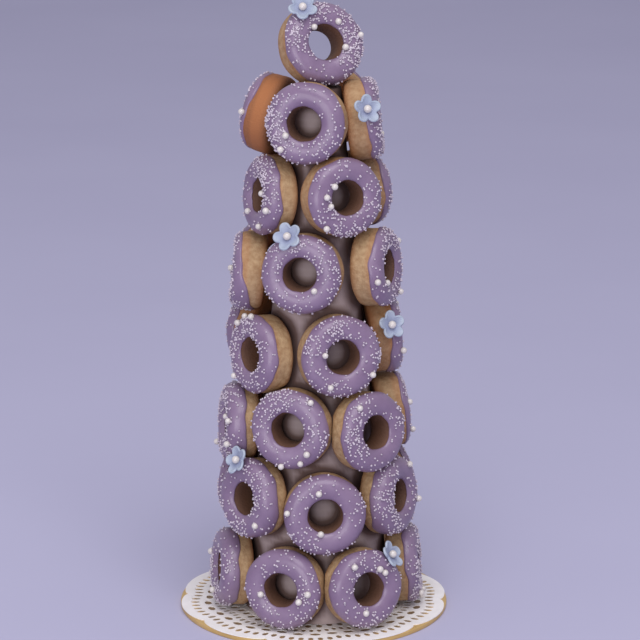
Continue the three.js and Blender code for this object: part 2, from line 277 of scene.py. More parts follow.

# %% [markdown]
# ## The card
# The board is pressed card with a thin foil on it. It starts as a cylinder at its true size, and a small
# bevel rounds both rims, since a foil edge is never sharp. A bevel by angle finds those rims on its own. The
# foil lies in shade under the paper, so two insets mark off that part, and a darker colour there is painted
# shade.

# %% Card
CARD_SIDES = 128
CARD_BEVEL = 0.5
FOIL_BORDER = 6.0
FOIL_FADE = 3.0
FLAT_SIDE_AREA = 0.01  # square metres, and only the card's two flat sides are larger


def shade_foil(card, radius):
    """Insets the top twice and marks the inner corners with 1, for painted shade under the paper."""
    make_active(card)
    bpy.ops.object.mode_set(mode="EDIT")
    bpy.ops.mesh.select_all(action="DESELECT")
    bpy.ops.object.mode_set(mode="OBJECT")
    flat_sides = [face for face in card.data.polygons if face.area > FLAT_SIDE_AREA]
    max(flat_sides, key=lambda face: face.center.z).select = True
    bpy.ops.object.mode_set(mode="EDIT")
    bpy.ops.mesh.inset(thickness=FOIL_BORDER * MM)
    bpy.ops.mesh.inset(thickness=FOIL_FADE * MM)
    bpy.ops.object.mode_set(mode="OBJECT")
    foil_painted_shade = card.data.attributes.new("crust_and_painted_shade", "FLOAT", "POINT")
    for corner in card.data.vertices:
        inner = corner.co.xy.length < radius - (FOIL_BORDER + FOIL_FADE / 2) * MM
        foil_painted_shade.data[corner.index].value = 1 if inner else 0


start_clean()
card_low, card_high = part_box("card")
card_middle = (Vector(card_low) + Vector(card_high)) / 2
card_size = Vector(card_high) - Vector(card_low)
bpy.ops.mesh.primitive_cylinder_add(
    vertices=CARD_SIDES, radius=card_size.x / 2, depth=card_size.z, location=card_middle
)
card = bpy.context.object
card.name = "gold_card"
bake_place(card)
add_and_apply(card, "BEVEL", width=CARD_BEVEL * MM, segments=3, limit_method="ANGLE")
bpy.ops.object.shade_smooth_by_angle()
shade_foil(card, card_size.x / 2)
finish_piece(card, "card", gold_look, "card")
print("card", [round(v / MM, 1) for v in card_size])

# %% [markdown]
# ## The doily
# A paper doily is cut by a die: a scalloped edge, then rows of slots that follow the scallops. The edge and
# the holes are drawn as closed loops of edges, and the fill operator makes the sheet between them. A
# solidify modifier then gives the paper its thickness. Loops come from short rules, so the pattern can be
# changed by a few numbers.

# %% Doily
LOBES = 10
NOTCH_RADIUS = 72.3
LOBE_RISE = 4.2
DOILY_TURN = math.radians(14.5)
SLOT_SIDES = 8
EDGE_STEPS = 240
LACE_ROWS = [
    {"inset": 8.0, "per_lobe": 8, "long": 5.4, "wide": 3.3},
    {"inset": 15.2, "per_lobe": 4, "long": 4.2, "wide": 6.5},
    {"inset": 21.0, "per_lobe": 8, "long": 4.6, "wide": 2.7},
    {"inset": 28.0, "per_lobe": 5, "long": 5.4, "wide": 3.8},
    {"inset": 35.0, "per_lobe": 5, "long": 5.0, "wide": 2.6},
]


def scallop_radius(angle):
    across = (angle / (2 * math.pi / LOBES)) % 1
    return NOTCH_RADIUS + LOBE_RISE * math.sqrt(math.sin(math.pi * across))


def slot_loop(angle, middle, long, wide):
    """A small oval whose long axis points outwards."""
    loop = []
    for step in range(SLOT_SIDES):
        turn = 2 * math.pi * step / SLOT_SIDES
        out = middle + long / 2 * math.cos(turn)
        side = wide / 2 * math.sin(turn)
        x = out * math.cos(angle) - side * math.sin(angle)
        y = out * math.sin(angle) + side * math.cos(angle)
        loop.append((x, y))
    return loop


def edge_loop():
    loop = []
    for step in range(EDGE_STEPS):
        angle = 2 * math.pi * step / EDGE_STEPS
        radius = scallop_radius(angle)
        loop.append((radius * math.cos(angle), radius * math.sin(angle)))
    return loop


def lace_loops():
    loops = [edge_loop()]
    for row in LACE_ROWS:
        count = LOBES * row["per_lobe"]
        for index in range(count):
            angle = 2 * math.pi * (index + 0.5) / count
            middle = scallop_radius(angle) - row["inset"]
            loops.append(slot_loop(angle, middle, row["long"], row["wide"]))
    return loops


def doily_sheet():
    corners, edges = [], []
    for loop in lace_loops():
        first = len(corners)
        corners += [(x * MM, y * MM, 0) for x, y in loop]
        edges += [(first + i, first + (i + 1) % len(loop)) for i in range(len(loop))]
    mesh = bpy.data.meshes.new("lace_doily")
    mesh.from_pydata(corners, edges, [])
    sheet = bpy.data.objects.new("lace_doily", mesh)
    bpy.context.collection.objects.link(sheet)
    make_active(sheet)
    bpy.ops.object.mode_set(mode="EDIT")
    bpy.ops.mesh.select_all(action="SELECT")
    bpy.ops.mesh.fill(use_beauty=True)
    bpy.ops.mesh.normals_make_consistent(inside=False)
    bpy.ops.object.mode_set(mode="OBJECT")
    return sheet


doily_low, doily_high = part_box("doily")
doily = doily_sheet()
doily.rotation_euler.z = DOILY_TURN - math.pi / LOBES
doily.location.z = doily_low[2]
bake_place(doily)
faces_up = doily.data.polygons[0].normal.z > 0
add_and_apply(doily, "SOLIDIFY", thickness=doily_high[2] - doily_low[2], offset=1 if faces_up else -1)
finish_piece(doily, "doily", paper_look, "doily")
print("doily faces", len(doily.data.polygons))

# %% [markdown]
# ## The cone
# The core is a plain foam cone that shows between the doughnuts; its colour is darkened as painted shade.
# A cone primitive gets its two true radii, and a bevel softens the rims as cut foam would be. The fine bump
# in its material is the beaded texture of foam. Its sloping edges are divided into many rows, which carry
# the painted shade later on.

# %% Cone
CONE_SIDES = 96
CONE_ROWS = 90
CONE_BEVEL = 0.8


def cut_in_rows(piece, rows):
    """Divides the edges that run from foot to head."""
    bpy.ops.object.mode_set(mode="EDIT")
    bpy.ops.mesh.select_mode(type="EDGE")
    bpy.ops.mesh.select_all(action="DESELECT")
    bpy.ops.object.mode_set(mode="OBJECT")
    for edge in piece.data.edges:
        foot, head = (piece.data.vertices[corner].co.z for corner in edge.vertices)
        edge.select = abs(foot - head) > MM
    bpy.ops.object.mode_set(mode="EDIT")
    bpy.ops.mesh.subdivide(number_cuts=rows)
    bpy.ops.mesh.select_mode(type="VERT")
    bpy.ops.object.mode_set(mode="OBJECT")


cone_low, cone_high = (Vector(corner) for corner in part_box("cone"))
cone_points = points_of(nodes["cone"].data)
tower_middle = (cone_low + cone_high) / 2
cone_top = cone_points[cone_points[:, 2] > cone_high.z - MM]
top_radius = np.hypot(cone_top[:, 0] - tower_middle.x, cone_top[:, 1] - tower_middle.y).max()
start_clean()
bpy.ops.mesh.primitive_cone_add(
    vertices=CONE_SIDES,
    radius1=(cone_high.x - cone_low.x) / 2,
    radius2=top_radius,
    depth=cone_high.z - cone_low.z,
    location=tower_middle,
)
cone = bpy.context.object
cone.name = "foam_cone"
bake_place(cone)
cut_in_rows(cone, CONE_ROWS)
add_and_apply(cone, "BEVEL", width=CONE_BEVEL * MM, segments=3, limit_method="ANGLE")
bpy.ops.object.shade_smooth_by_angle()
finish_piece(cone, "cone", foam_look, "cone")
print("cone top radius", round(top_radius / MM, 1))

# %% [markdown]
# ## One doughnut, modelled once
# A doughnut baked in a ring pan has a plump oval section with a flatter back. The section starts as a
# circle of edges, is resized to the oval and is spun round the axis. The icing is a second ring that is cut
# at one height outside and at another in the hole, so that only its front is left. Its open rims are then
# extruded inwards, which makes the lip.

# %% The dough ring and the icing ring
RING_RADIUS = 22.7
MIDDLE_RADIUS = 15.15
DOUGH_HALF_WIDTH = 6.85
DOUGH_HALF_DEPTH = 8.9
ICING_HALF_WIDTH = 7.55
ICING_HALF_DEPTH = 9.25
OUTER_RIM_HEIGHT = 1.8
HOLE_RIM_HEIGHT = 6.6
SQUARENESS = 2.5
BACK_SQUARENESS = 5.0
BACK_GROWTH = 1.04
TURNS = 40
DOUGH_STEPS = 16
ICING_STEPS = 20
WELD_DISTANCE = 0.01
HOLE_SIDE = 0.5
LIP_SHARE = 0.76
LIP_DROP = 0.15


def squared(value):
    return math.copysign(abs(value) ** (2 / SQUARENESS), value)


def spun_ring(name, half_width, half_depth, steps):
    start_clean()
    bpy.ops.mesh.primitive_circle_add(
        vertices=steps, radius=MM, location=(MIDDLE_RADIUS * MM, 0, 0), rotation=(math.pi / 2, 0, 0)
    )
    ring = bpy.context.object
    ring.name = name
    bake_place(ring)
    for corner in ring.data.vertices:
        across = (corner.co.x / MM) - MIDDLE_RADIUS
        corner.co.x = (MIDDLE_RADIUS + half_width * squared(across)) * MM
        corner.co.z = half_depth * squared(corner.co.z / MM) * MM
    bpy.ops.object.mode_set(mode="EDIT")
    bpy.ops.mesh.select_all(action="SELECT")
    bpy.ops.mesh.spin(steps=TURNS, angle=2 * math.pi, center=(0, 0, 0), axis=(0, 0, 1))
    bpy.ops.mesh.select_all(action="SELECT")
    bpy.ops.mesh.remove_doubles(threshold=WELD_DISTANCE * MM)
    bpy.ops.mesh.normals_make_consistent(inside=False)
    bpy.ops.object.mode_set(mode="OBJECT")
    return ring


def cut_below(height):
    """Drops what lies below a height, within the selected part of the mesh."""
    bpy.ops.mesh.bisect(plane_co=(0, 0, height * MM), plane_no=(0, 0, 1), clear_inner=True)


def select_hole_side(shell):
    bpy.ops.mesh.select_all(action="DESELECT")
    bpy.ops.object.mode_set(mode="OBJECT")
    for corner in shell.data.vertices:
        corner.select = corner.co.xy.length < (MIDDLE_RADIUS - HOLE_SIDE) * MM
    bpy.ops.object.mode_set(mode="EDIT")


def draw_in_lip(shell):
    """Pulls the selected edges in towards the middle of the section, so that the icing looks thick."""
    for corner in shell.data.vertices:
        if corner.select:
            out = math.hypot(corner.co.x, corner.co.y)
            drawn_in = MIDDLE_RADIUS * MM + (out - MIDDLE_RADIUS * MM) * LIP_SHARE
            corner.co.x *= drawn_in / out
            corner.co.y *= drawn_in / out
            corner.co.z -= LIP_DROP * MM


def icing_shell():
    shell = spun_ring("icing_pattern", ICING_HALF_WIDTH, ICING_HALF_DEPTH, ICING_STEPS)
    make_active(shell)
    bpy.ops.object.mode_set(mode="EDIT")
    bpy.ops.mesh.select_all(action="SELECT")
    cut_below(OUTER_RIM_HEIGHT)
    select_hole_side(shell)
    cut_below(HOLE_RIM_HEIGHT)
    bpy.ops.mesh.select_all(action="SELECT")
    bpy.ops.mesh.region_to_loop()
    bpy.ops.mesh.extrude_edges_move()
    bpy.ops.object.mode_set(mode="OBJECT")
    draw_in_lip(shell)
    add_and_apply(shell, "SUBSURF", levels=1, render_levels=1)
    return shell


dough_pattern = spun_ring("dough_pattern", DOUGH_HALF_WIDTH, DOUGH_HALF_DEPTH, DOUGH_STEPS)
add_and_apply(dough_pattern, "SUBSURF", levels=1, render_levels=1)
icing_pattern = icing_shell()
dough_points = points_of(dough_pattern.data)
icing_points = points_of(icing_pattern.data)
for pattern in (dough_pattern, icing_pattern):
    smooth(pattern)
print("pattern points", len(dough_points), len(icing_points))

# %% [markdown]
# ## Where each doughnut sits
# Each solid ring has a flat back, so the faces with the commonest direction give its axis, and the middle
# of that back gives its place. The radius of its widest points says how large it is and how far from a
# circle. These numbers are fitted with slow waves, and the new ring then keeps the solid's own form.


# %% Reading a ring's frame and its waves
NO_AREA = 1e-18
SAME_WAY = 0.9999  # cosine of the angle between two faces that count as parallel
WIDEST_RANK = 8
WIDEST_SHARE = 0.955
OVAL_WAVES = (2, 3)


def face_table(mesh):
    corners = points_of(mesh)
    mesh.calc_loop_triangles()
    triangles = np.array([t.vertices[:] for t in mesh.loop_triangles])
    a, b, c = (corners[triangles[:, i]] for i in range(3))
    cross = np.cross(b - a, c - a)
    area = np.linalg.norm(cross, axis=1) / 2
    return corners, triangles, cross / (2 * area[:, None] + NO_AREA), area


def flat_back(mesh):
    """The outward axis of a ring and the middle of its flat back."""
    corners, triangles, normals, area = face_table(mesh)
    alike = (normals @ normals.T > SAME_WAY) @ area
    back = normals[np.argmax(alike)]
    chosen = np.unique(triangles[normals @ back > SAME_WAY])
    return -back, corners[chosen].mean(axis=0), corners


def ring_frame(name):
    out, back_middle, corners = flat_back(nodes[name].data)
    right = np.cross((0, 0, 1), out)
    right /= np.linalg.norm(right)
    axes = np.array([right, np.cross(out, right), out])
    local = (corners - back_middle) @ axes.T
    radius = np.hypot(local[:, 0], local[:, 1])
    rim = local[radius > WIDEST_SHARE * np.sort(radius)[-WIDEST_RANK]]
    return {"axes": axes, "back": back_middle, "rim": rim, "local": local}


def rim_waves(rim):
    angle = np.arctan2(rim[:, 1], rim[:, 0])
    radius = np.hypot(rim[:, 0], rim[:, 1])
    widest = radius > np.median(radius)
    terms = wave_terms(angle[widest])
    return np.linalg.lstsq(terms, radius[widest], rcond=None)[0]


def wave_terms(angle):
    waves = [np.ones_like(angle)]
    for count in OVAL_WAVES:
        waves += [np.cos(count * angle), np.sin(count * angle)]
    return np.stack(waves, 1)


ring_frames = {name: ring_frame(name) for name in ring_names}
for name in ring_names[:3]:
    axis = np.round(ring_frames[name]["axes"][2], 2)
    print(name, "axis", axis, "radius", round(rim_waves(ring_frames[name]["rim"])[0] / MM, 2))

# %% [markdown]
# ## Room between neighbours
# Soft dough swells until it meets the next piece, so the gaps in the tower are narrow. A search tree over
# the solids round one doughnut gives the distance from any point to the nearest of them. Two doughnuts
# share the room between them, so they never cross. The cone keeps its form, so dough may come up to it.

# %% Search trees round each ring
REACH = 75
SPARE = 0.1


def search_tree(names):
    corners, triangles = [], []
    for name in names:
        points, faces, _, _ = face_table(nodes[name].data)
        triangles += (faces + len(corners)).tolist()
        corners += points.tolist()
    return BVHTree.FromPolygons(corners, triangles)


def middle_of(name):
    low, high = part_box(name)
    return (Vector(low) + Vector(high)) / 2


def neighbours_of(name):
    others = [other for other in ring_names + blossom_names if other != name]
    near = [other for other in others if (middle_of(other) - middle_of(name)).length < REACH * MM]
    return search_tree(near)


ring_trees = {name: neighbours_of(name) for name in ring_names}
core_tree = search_tree(["cone", "doily"])


def room_at(points, tree):
    """Distance from each point to the nearest solid of a tree."""
    return np.array([tree.find_nearest(Vector(point))[3] for point in points])


def is_free(spot, name, distance):
    """Whether a spot on one doughnut keeps this distance from all the other pieces."""
    return all(room_at([spot], tree)[0] > distance for tree in (ring_trees[name], core_tree))


print("search trees", len(ring_trees))

# %% [markdown]
# ## Painted shade on the cone
# Little light reaches the foam close to a doughnut, and what does is tinted by the dough. That shade is
# painted into the foam's colour: the distance from each point of the cone to the nearest doughnut sets how
# dark it is, so the foam stays pale only in the middle of the wider gaps.

# %% Painted shade by distance
SHADE_REACH = 9.0


def soft_step(low, high, value):
    share = np.clip((value - low) / (high - low), 0, 1)
    return share * share * (3 - 2 * share)


shade = cone.data.attributes.new("crust_and_painted_shade", "FLOAT", "POINT")
distance = room_at(points_of(cone.data), search_tree(ring_names))
shade.data.foreach_set("value", (1 - soft_step(0, SHADE_REACH * MM, distance)).astype(np.float32))
print("cone points in shade", int((distance < SHADE_REACH * MM / 2).sum()), "of", len(distance))

# %% [markdown]
# ## The iced doughnuts
# The two pattern rings are copied for every solid, each copy with its own mesh. Its points are stretched by
# the fitted waves, the icing slides along its section by a few seeded waves of its own, and the result is
# turned into place. The back of the dough is squared off as far as its neighbours leave room. A value at
# each dough point darkens the back and the baked rims as crust, and the hole most, partly as crust and
# partly as painted shade.


# %% Dressing each ring
BACK_STARTS = (-0.55, -0.1)  # share of the half depth where the squared back fades in
NO_LENGTH = 1e-9
CROWN = math.pi / 2
RIM_CLOCK = math.atan2(OUTER_RIM_HEIGHT, ICING_HALF_DEPTH)
HOLE_CLOCK = 2.41
HOLE_WAVER = 0.03
HOLE_WAVER_LIMIT = 2
RIM_HIGHEST = 5.0
RIM_WAVES = ((2, 0.7), (3, 0.6), (5, 0.5), (8, 0.35), (13, 0.2))
LUMP_COUNTS = (4, 6, 9)
LUMP_LENGTH = 6
LUMP_TURN = 6.28
DOUGH_LUMPS = 0.004
ICING_LUMPS = 0.005
# The hole's dark colour is partly baked crust and partly painted shade.
HOLE_CRUST_AND_SHADE = (9.0, 13.0)  # radius from dark to plain
BACK_BROWN = (-8.5, -3.5)  # height from dark to plain
RIM_BROWN = (0.2, 1.5)  # height from plain to dark
BACK_BROWN_SHARE = 0.38
RIM_BROWN_SHARE = 0.15
TONE_RANGE = (-0.03, 0.08)
RING_SEED = 11


def copied(pattern, name, points):
    mesh = pattern.data.copy()
    mesh.name = name
    piece = bpy.data.objects.new(name, mesh)
    bpy.context.collection.objects.link(piece)
    set_points(mesh, points)
    return piece


def oval_reach(across, along, squareness):
    """1 on a squared oval of unit size, and less inside it."""
    return (np.abs(across) ** squareness + np.abs(along) ** squareness) ** (1 / squareness)


def fuller(points, half_width, half_depth):
    """Ring points with the back half squared off and a little deeper, as soft dough is."""
    out = np.hypot(points[:, 0], points[:, 1])
    across = (out - MIDDLE_RADIUS * MM) / (half_width * MM)
    along = points[:, 2] / (half_depth * MM)
    soft = oval_reach(across, along, SQUARENESS)
    firm = oval_reach(across, along, BACK_SQUARENESS)
    behind = 1 - soft_step(*BACK_STARTS, along)
    grow = 1 + behind * (BACK_GROWTH * soft / firm - 1)
    new_out = MIDDLE_RADIUS * MM + (out - MIDDLE_RADIUS * MM) * grow
    return np.stack([points[:, 0] * new_out / out, points[:, 1] * new_out / out, points[:, 2] * grow], 1)


def swollen(name, points, half_width, half_depth):
    """Placed ring points, moved towards the fuller form as far as the room allows."""
    ring = ring_frames[name]
    start = placed(points, ring)
    wish = placed(fuller(points, half_width, half_depth), ring) - start
    length = np.linalg.norm(wish, axis=1)
    shared = room_at(start, ring_trees[name]) / 2
    allowed = np.clip(np.minimum(shared, room_at(start, core_tree)) - SPARE * MM, 0, None)
    share = np.minimum(1, allowed / np.maximum(length, NO_LENGTH))
    return start + wish * share[:, None]


def section_clock(points):
    """Each point's angle in the ring's section (0 outside, a quarter turn at the crown) and its reach."""
    across = (np.hypot(points[:, 0], points[:, 1]) / MM - MIDDLE_RADIUS) / ICING_HALF_WIDTH
    along = points[:, 2] / MM / ICING_HALF_DEPTH
    return np.arctan2(along, across), oval_reach(across, along, SQUARENESS)


def edge_share(clock):
    """0 at the crown and 1 at the icing's edge, outside or in the hole."""
    outside = (CROWN - clock) / (CROWN - RIM_CLOCK)
    inside = (clock - CROWN) / (HOLE_CLOCK - CROWN)
    return np.where(clock < CROWN, outside, inside)


def uneven_rim(points, random, drop, slope):
    """Slides the icing along its section: a few waves, its own depth, and more of it at the bottom."""
    around = np.arctan2(points[:, 1], points[:, 0])
    waver = slope * np.sin(around) - drop
    for count, height in RIM_WAVES:
        waver += height * np.cos(count * around + random.uniform(0, 2 * math.pi))
    waver = np.minimum(waver, RIM_HIGHEST)
    clock, reach = section_clock(points)
    outer_move = np.arctan2(OUTER_RIM_HEIGHT + waver, ICING_HALF_DEPTH) - RIM_CLOCK
    inner_move = -HOLE_WAVER * np.clip(waver, -HOLE_WAVER_LIMIT, HOLE_WAVER_LIMIT)
    clock = clock + np.where(clock < CROWN, outer_move, inner_move) * edge_share(clock)
    long = oval_reach(np.cos(clock), np.sin(clock), SQUARENESS)
    out = (MIDDLE_RADIUS + ICING_HALF_WIDTH * reach * np.cos(clock) / long) * MM
    height = ICING_HALF_DEPTH * reach * np.sin(clock) / long * MM
    return np.stack([out * np.cos(around), out * np.sin(around), height], 1)


def lumpy(points, random, depth):
    """Small swellings, so that no two rings are alike."""
    angle = np.arctan2(points[:, 1], points[:, 0])
    swell = np.zeros(len(points))
    for count in LUMP_COUNTS:
        round_ring = np.cos(count * angle + random.uniform(0, LUMP_TURN))
        along_axis = np.cos(points[:, 2] / (LUMP_LENGTH * MM) + random.uniform(0, LUMP_TURN))
        swell += depth * round_ring * along_axis
    return points * (1 + swell)[:, None]


def placed(points, ring):
    """Pattern points, with the axis along +Z and the middle at 0, brought to a solid ring's place."""
    waves = rim_waves(ring["rim"])
    size = waves[0] / (RING_RADIUS * MM)
    angle = np.arctan2(points[:, 1], points[:, 0])
    grow = (wave_terms(angle) @ waves) / (RING_RADIUS * MM)
    height = (points[:, 2] + ICING_HALF_DEPTH * MM) * size
    local = np.stack([points[:, 0] * grow, points[:, 1] * grow, height], 1)
    return ring["back"] + local @ ring["axes"]


def dough_crust_and_shade(points, tone, random):
    """How dark each dough point is: most in the hole, partly as painted shade there, less on the back and at
    the icing's edge.
    """
    out = np.hypot(points[:, 0], points[:, 1]) / MM
    hole = 1 - soft_step(*HOLE_CRUST_AND_SHADE, out)
    back = 1 - soft_step(*BACK_BROWN, points[:, 2] / MM)
    rim = soft_step(*RIM_BROWN, points[:, 2] / MM)
    crust_and_shade = hole + BACK_BROWN_SHARE * back + RIM_BROWN_SHARE * rim + tone
    return np.clip(crust_and_shade + random.uniform(*TONE_RANGE), 0, 1)


# How much darker a well baked doughnut is, then how far each icing comes down and how much it slants
WELL_BAKED = {"doughnut_7_3": 0.45, "doughnut_4_3": 0.15, "doughnut_4_4": 0.15}
ICING_DROP = {
    "doughnut_1_3": (2.5, 0),
    "doughnut_2_2": (3.0, 0.5),
    "doughnut_2_3": (3.5, 1.0),
    "doughnut_3_3": (3.5, 0),
    "doughnut_3_4": (-4.5, 0),
    "doughnut_4_2": (-1.0, 0),
    "doughnut_4_3": (-0.5, 2.5),
    "doughnut_5_2": (-1.5, 0),
    "doughnut_5_3": (-0.5, 8.0),
    "doughnut_6_1": (-1.5, 0),
    "doughnut_6_2": (0.5, 0),
    "doughnut_7_2": (-0.5, -1.0),
    "doughnut_7_3": (-3.5, -1.5),
    "doughnut_top": (-1.0, 0),
}

icing_pieces = {}
random = np.random.default_rng(RING_SEED)
for name in ring_names:
    lumps = lumpy(dough_points, random, DOUGH_LUMPS)
    dough_form = swollen(name, lumps, DOUGH_HALF_WIDTH, DOUGH_HALF_DEPTH)
    dough = copied(dough_pattern, name + "_dough", dough_form)
    tone = dough.data.attributes.new("crust_and_painted_shade", "FLOAT", "POINT")
    crust_and_shade = dough_crust_and_shade(dough_points, WELL_BAKED.get(name, 0), random)
    tone.data.foreach_set("value", crust_and_shade.astype(np.float32))
    rimmed = uneven_rim(icing_points, random, *ICING_DROP.get(name, (0, 0)))
    lumps = lumpy(rimmed, random, ICING_LUMPS)
    icing_form = swollen(name, lumps, ICING_HALF_WIDTH, ICING_HALF_DEPTH)
    icing = copied(icing_pattern, name + "_icing", icing_form)
    finish_piece(dough, "doughnut", dough_look, name)
    finish_piece(icing, "doughnut", icing_look, name)
    icing_pieces[name] = icing
for pattern in (dough_pattern, icing_pattern):
    bpy.data.objects.remove(pattern)
print("dressed", len(icing_pieces), "doughnuts")

# %% [markdown]
# ## Blossoms
# A sugar blossom is cut from rolled paste and cupped in the palm, then a pearl is set in its middle. A disc
# of rings is shaped by one rule for the petals' reach and one for their cup, and a solidify modifier gives
# the paste its thickness. The paste is painted darker towards the middle, as shade in the cup. One blossom
# is modelled and copied to the place, tilt and turn of each solid.

# %% One blossom
PETALS = 5
BLOSSOM_RADIUS = 8.4
BLOSSOM_CUP = 2.2
PASTE_THICKNESS = 1.3
PETAL_OFFSET = 0.6
PETAL_ROUND = 0.4
PEARL_HEIGHT = 2.73
BLOSSOM_PEARL_RADIUS = 2.2
BLOSSOM_SIDES = 80
BLOSSOM_RINGS = 8
SPOON_HEIGHT = 0.6
CURL_HEIGHT = 0.5
PETAL_BEVEL = 0.35
CORE_RADIUS = 2.4
OUTER_SHARE = 0.5
SLANT = (0.3, 0.5, 0.8)  # any direction that isn't a blossom's axis


def petal_reach(angle):
    """The outline of five round discs set round the middle, as a share of the blossom's radius."""
    step = 2 * math.pi / PETALS
    off = (angle + step / 2) % step - step / 2
    return PETAL_OFFSET * math.cos(off) + math.sqrt(PETAL_ROUND**2 - (PETAL_OFFSET * math.sin(off)) ** 2)


def blossom_pattern():
    start_clean()
    bpy.ops.mesh.primitive_circle_add(vertices=BLOSSOM_SIDES, radius=BLOSSOM_RADIUS * MM, fill_type="NGON")
    petals = bpy.context.object
    petals.name = "blossom_pattern"
    bpy.ops.object.mode_set(mode="EDIT")
    for _ in range(BLOSSOM_RINGS - 1):
        bpy.ops.mesh.inset(thickness=BLOSSOM_RADIUS * MM / BLOSSOM_RINGS)
    bpy.ops.object.mode_set(mode="OBJECT")
    for corner in petals.data.vertices:
        angle = math.atan2(corner.co.y, corner.co.x)
        share = corner.co.xy.length / (BLOSSOM_RADIUS * MM)
        reach = share * (1 + (petal_reach(angle) - 1) * share)
        spoon = SPOON_HEIGHT * share**2 * math.sin(PETALS * angle / 2) ** 2 + CURL_HEIGHT * share**6
        corner.co.x = BLOSSOM_RADIUS * MM * reach * math.cos(angle)
        corner.co.y = BLOSSOM_RADIUS * MM * reach * math.sin(angle)
        corner.co.z = (BLOSSOM_CUP * reach**2 + spoon) * MM
    # Painted shade: rising to 1 at the middle of the cup, 0 at the petals' rims.
    depth = petals.data.attributes.new("crust_and_painted_shade", "FLOAT", "POINT")
    inwards = 1 - np.linalg.norm(points_of(petals.data)[:, :2], axis=1) / (BLOSSOM_RADIUS * MM)
    depth.data.foreach_set("value", inwards.astype(np.float32))
    add_and_apply(petals, "SOLIDIFY", thickness=PASTE_THICKNESS * MM, offset=1)
    add_and_apply(petals, "BEVEL", width=PETAL_BEVEL * MM, segments=2, limit_method="ANGLE")
    smooth(petals)
    return petals


def paste_axis(corners):
    """A blossom's thinnest direction, pointing to its pearl, and the foot of its middle."""
    middle = corners.mean(axis=0)
    spread = np.linalg.eigh(np.cov((corners - middle).T))[1]
    out = spread[:, 0]
    along = (corners - middle) @ out
    across = np.linalg.norm(corners - middle - np.outer(along, out), axis=1)
    core = across < CORE_RADIUS * MM
    if along[core].max() < -along[core].min():
        out = -out
    return out, middle + out * ((corners - middle) @ out)[core].min()


def petal_turn(local):
    """The turn about the axis that brings the first petal to one of the solid's petals."""
    reach = np.hypot(local[:, 0], local[:, 1])
    outer = local[reach > OUTER_SHARE * BLOSSOM_RADIUS * MM]
    angle = np.arctan2(outer[:, 1], outer[:, 0])
    pull = np.hypot(outer[:, 0], outer[:, 1]) ** 4
    tip = np.angle((pull * np.exp(1j * PETALS * angle)).sum()) / PETALS
    return np.array([[math.cos(tip), math.sin(tip), 0], [-math.sin(tip), math.cos(tip), 0], [0, 0, 1]])


def blossom_frame(name):
    corners = points_of(nodes[name].data)
    out, base = paste_axis(corners)
    right = np.cross(out, SLANT)
    right /= np.linalg.norm(right)
    axes = np.array([right, np.cross(out, right), out])
    return base, petal_turn((corners - base) @ axes.T) @ axes


petal_pattern = blossom_pattern()
petal_points = points_of(petal_pattern.data)
blossom_places = {}
for name in blossom_names:
    base, axes = blossom_frame(name)
    blossom = copied(petal_pattern, name + "_petals", base + petal_points @ axes)
    finish_piece(blossom, "blossom", petal_look, name)
    blossom_places[name] = (base, axes[2])
bpy.data.objects.remove(petal_pattern)
print("blossoms", len(blossom_places))

# %% [markdown]
# ## Beads and pearls
# Two kinds of sugar lie on the icing: fine white beads in loose drifts, and a few larger cream pearls. Each
# is one joined mesh, built from arrays of places and one small ball. A ball is sunk a little into the
# icing. A nearest-surface search keeps them off neighbouring doughnuts and petals. The icing's faces are
# put in a fixed order first, so every run draws the same places.

# %% Scatter
BEADS_EACH = (150, 310)
BEADS_ON_TOP = 420
BEADED_SHARE = 0.8
LIP_REACH = 0.95
BEAD_RADIUS = (0.48, 0.70)
PEARLS_EACH = (1, 4)
PEARL_RADIUS = 1.8
PEARL_SINK = 0.35
PEARL_TRIES = 40
PEARL_FACING = 0.6
PEARL_APART = 2.1
PEARL_SIZES = (0.92, 1.05)
CROWN_SPARE = 0.3
BEAD_SLIDE = 0.5
BEAD_HEIGHT = 0.55
BEAD_ROOM = 1.3
DRIFTS = 5
DRIFT_WIDTH = 6.5
THIN_SCATTER = 0.22
BEAD_BALL = 1
PEARL_BALL = 3
SCATTER_SEED = 5
BALL_TOP = 0.8507  # height of the solid pearl's two highest corners, in radii


def ball(subdivisions):
    start_clean()
    bpy.ops.mesh.primitive_ico_sphere_add(subdivisions=subdivisions, radius=1)
    source = bpy.context.object
    points = points_of(source.data)
    faces = np.array([face.vertices[:] for face in source.data.polygons])
    bpy.data.objects.remove(source)
    return points, faces


def joined_balls(name, subdivisions, centres, radii):
    points, faces = ball(subdivisions)
    corners = (centres[:, None] + points[None] * radii[:, None, None]).reshape(-1, 3)
    triangles = (faces[None] + (np.arange(len(centres)) * len(points))[:, None, None]).reshape(-1, 3)
    mesh = bpy.data.meshes.new(name)
    mesh.from_pydata(corners.tolist(), [], triangles.tolist())
    piece = bpy.data.objects.new(name, mesh)
    bpy.context.collection.objects.link(piece)
    smooth(piece)
    return piece


def beaded_faces():
    """Numbers of the pattern's faces that may carry beads, in order round the ring."""
    faces = icing_pieces[ring_names[0]].data.polygons
    middles = np.array([icing_points[face.vertices[:], :].mean(axis=0) for face in faces])
    clock, reach = section_clock(middles)
    wedge = np.floor(np.arctan2(middles[:, 1], middles[:, 0]) / (math.pi / TURNS))
    chosen = np.flatnonzero((edge_share(clock) < BEADED_SHARE) & (reach > LIP_REACH))
    return chosen[np.lexsort((clock[chosen], wedge[chosen]))]


def icing_places(name):
    """Middles, normals and areas of the icing's faces, a little way in from its edges."""
    faces = [icing_pieces[name].data.polygons[number] for number in bead_faces]
    middles = np.array([face.center for face in faces])
    normals = np.array([face.normal for face in faces])
    return middles, normals, np.array([face.area for face in faces])


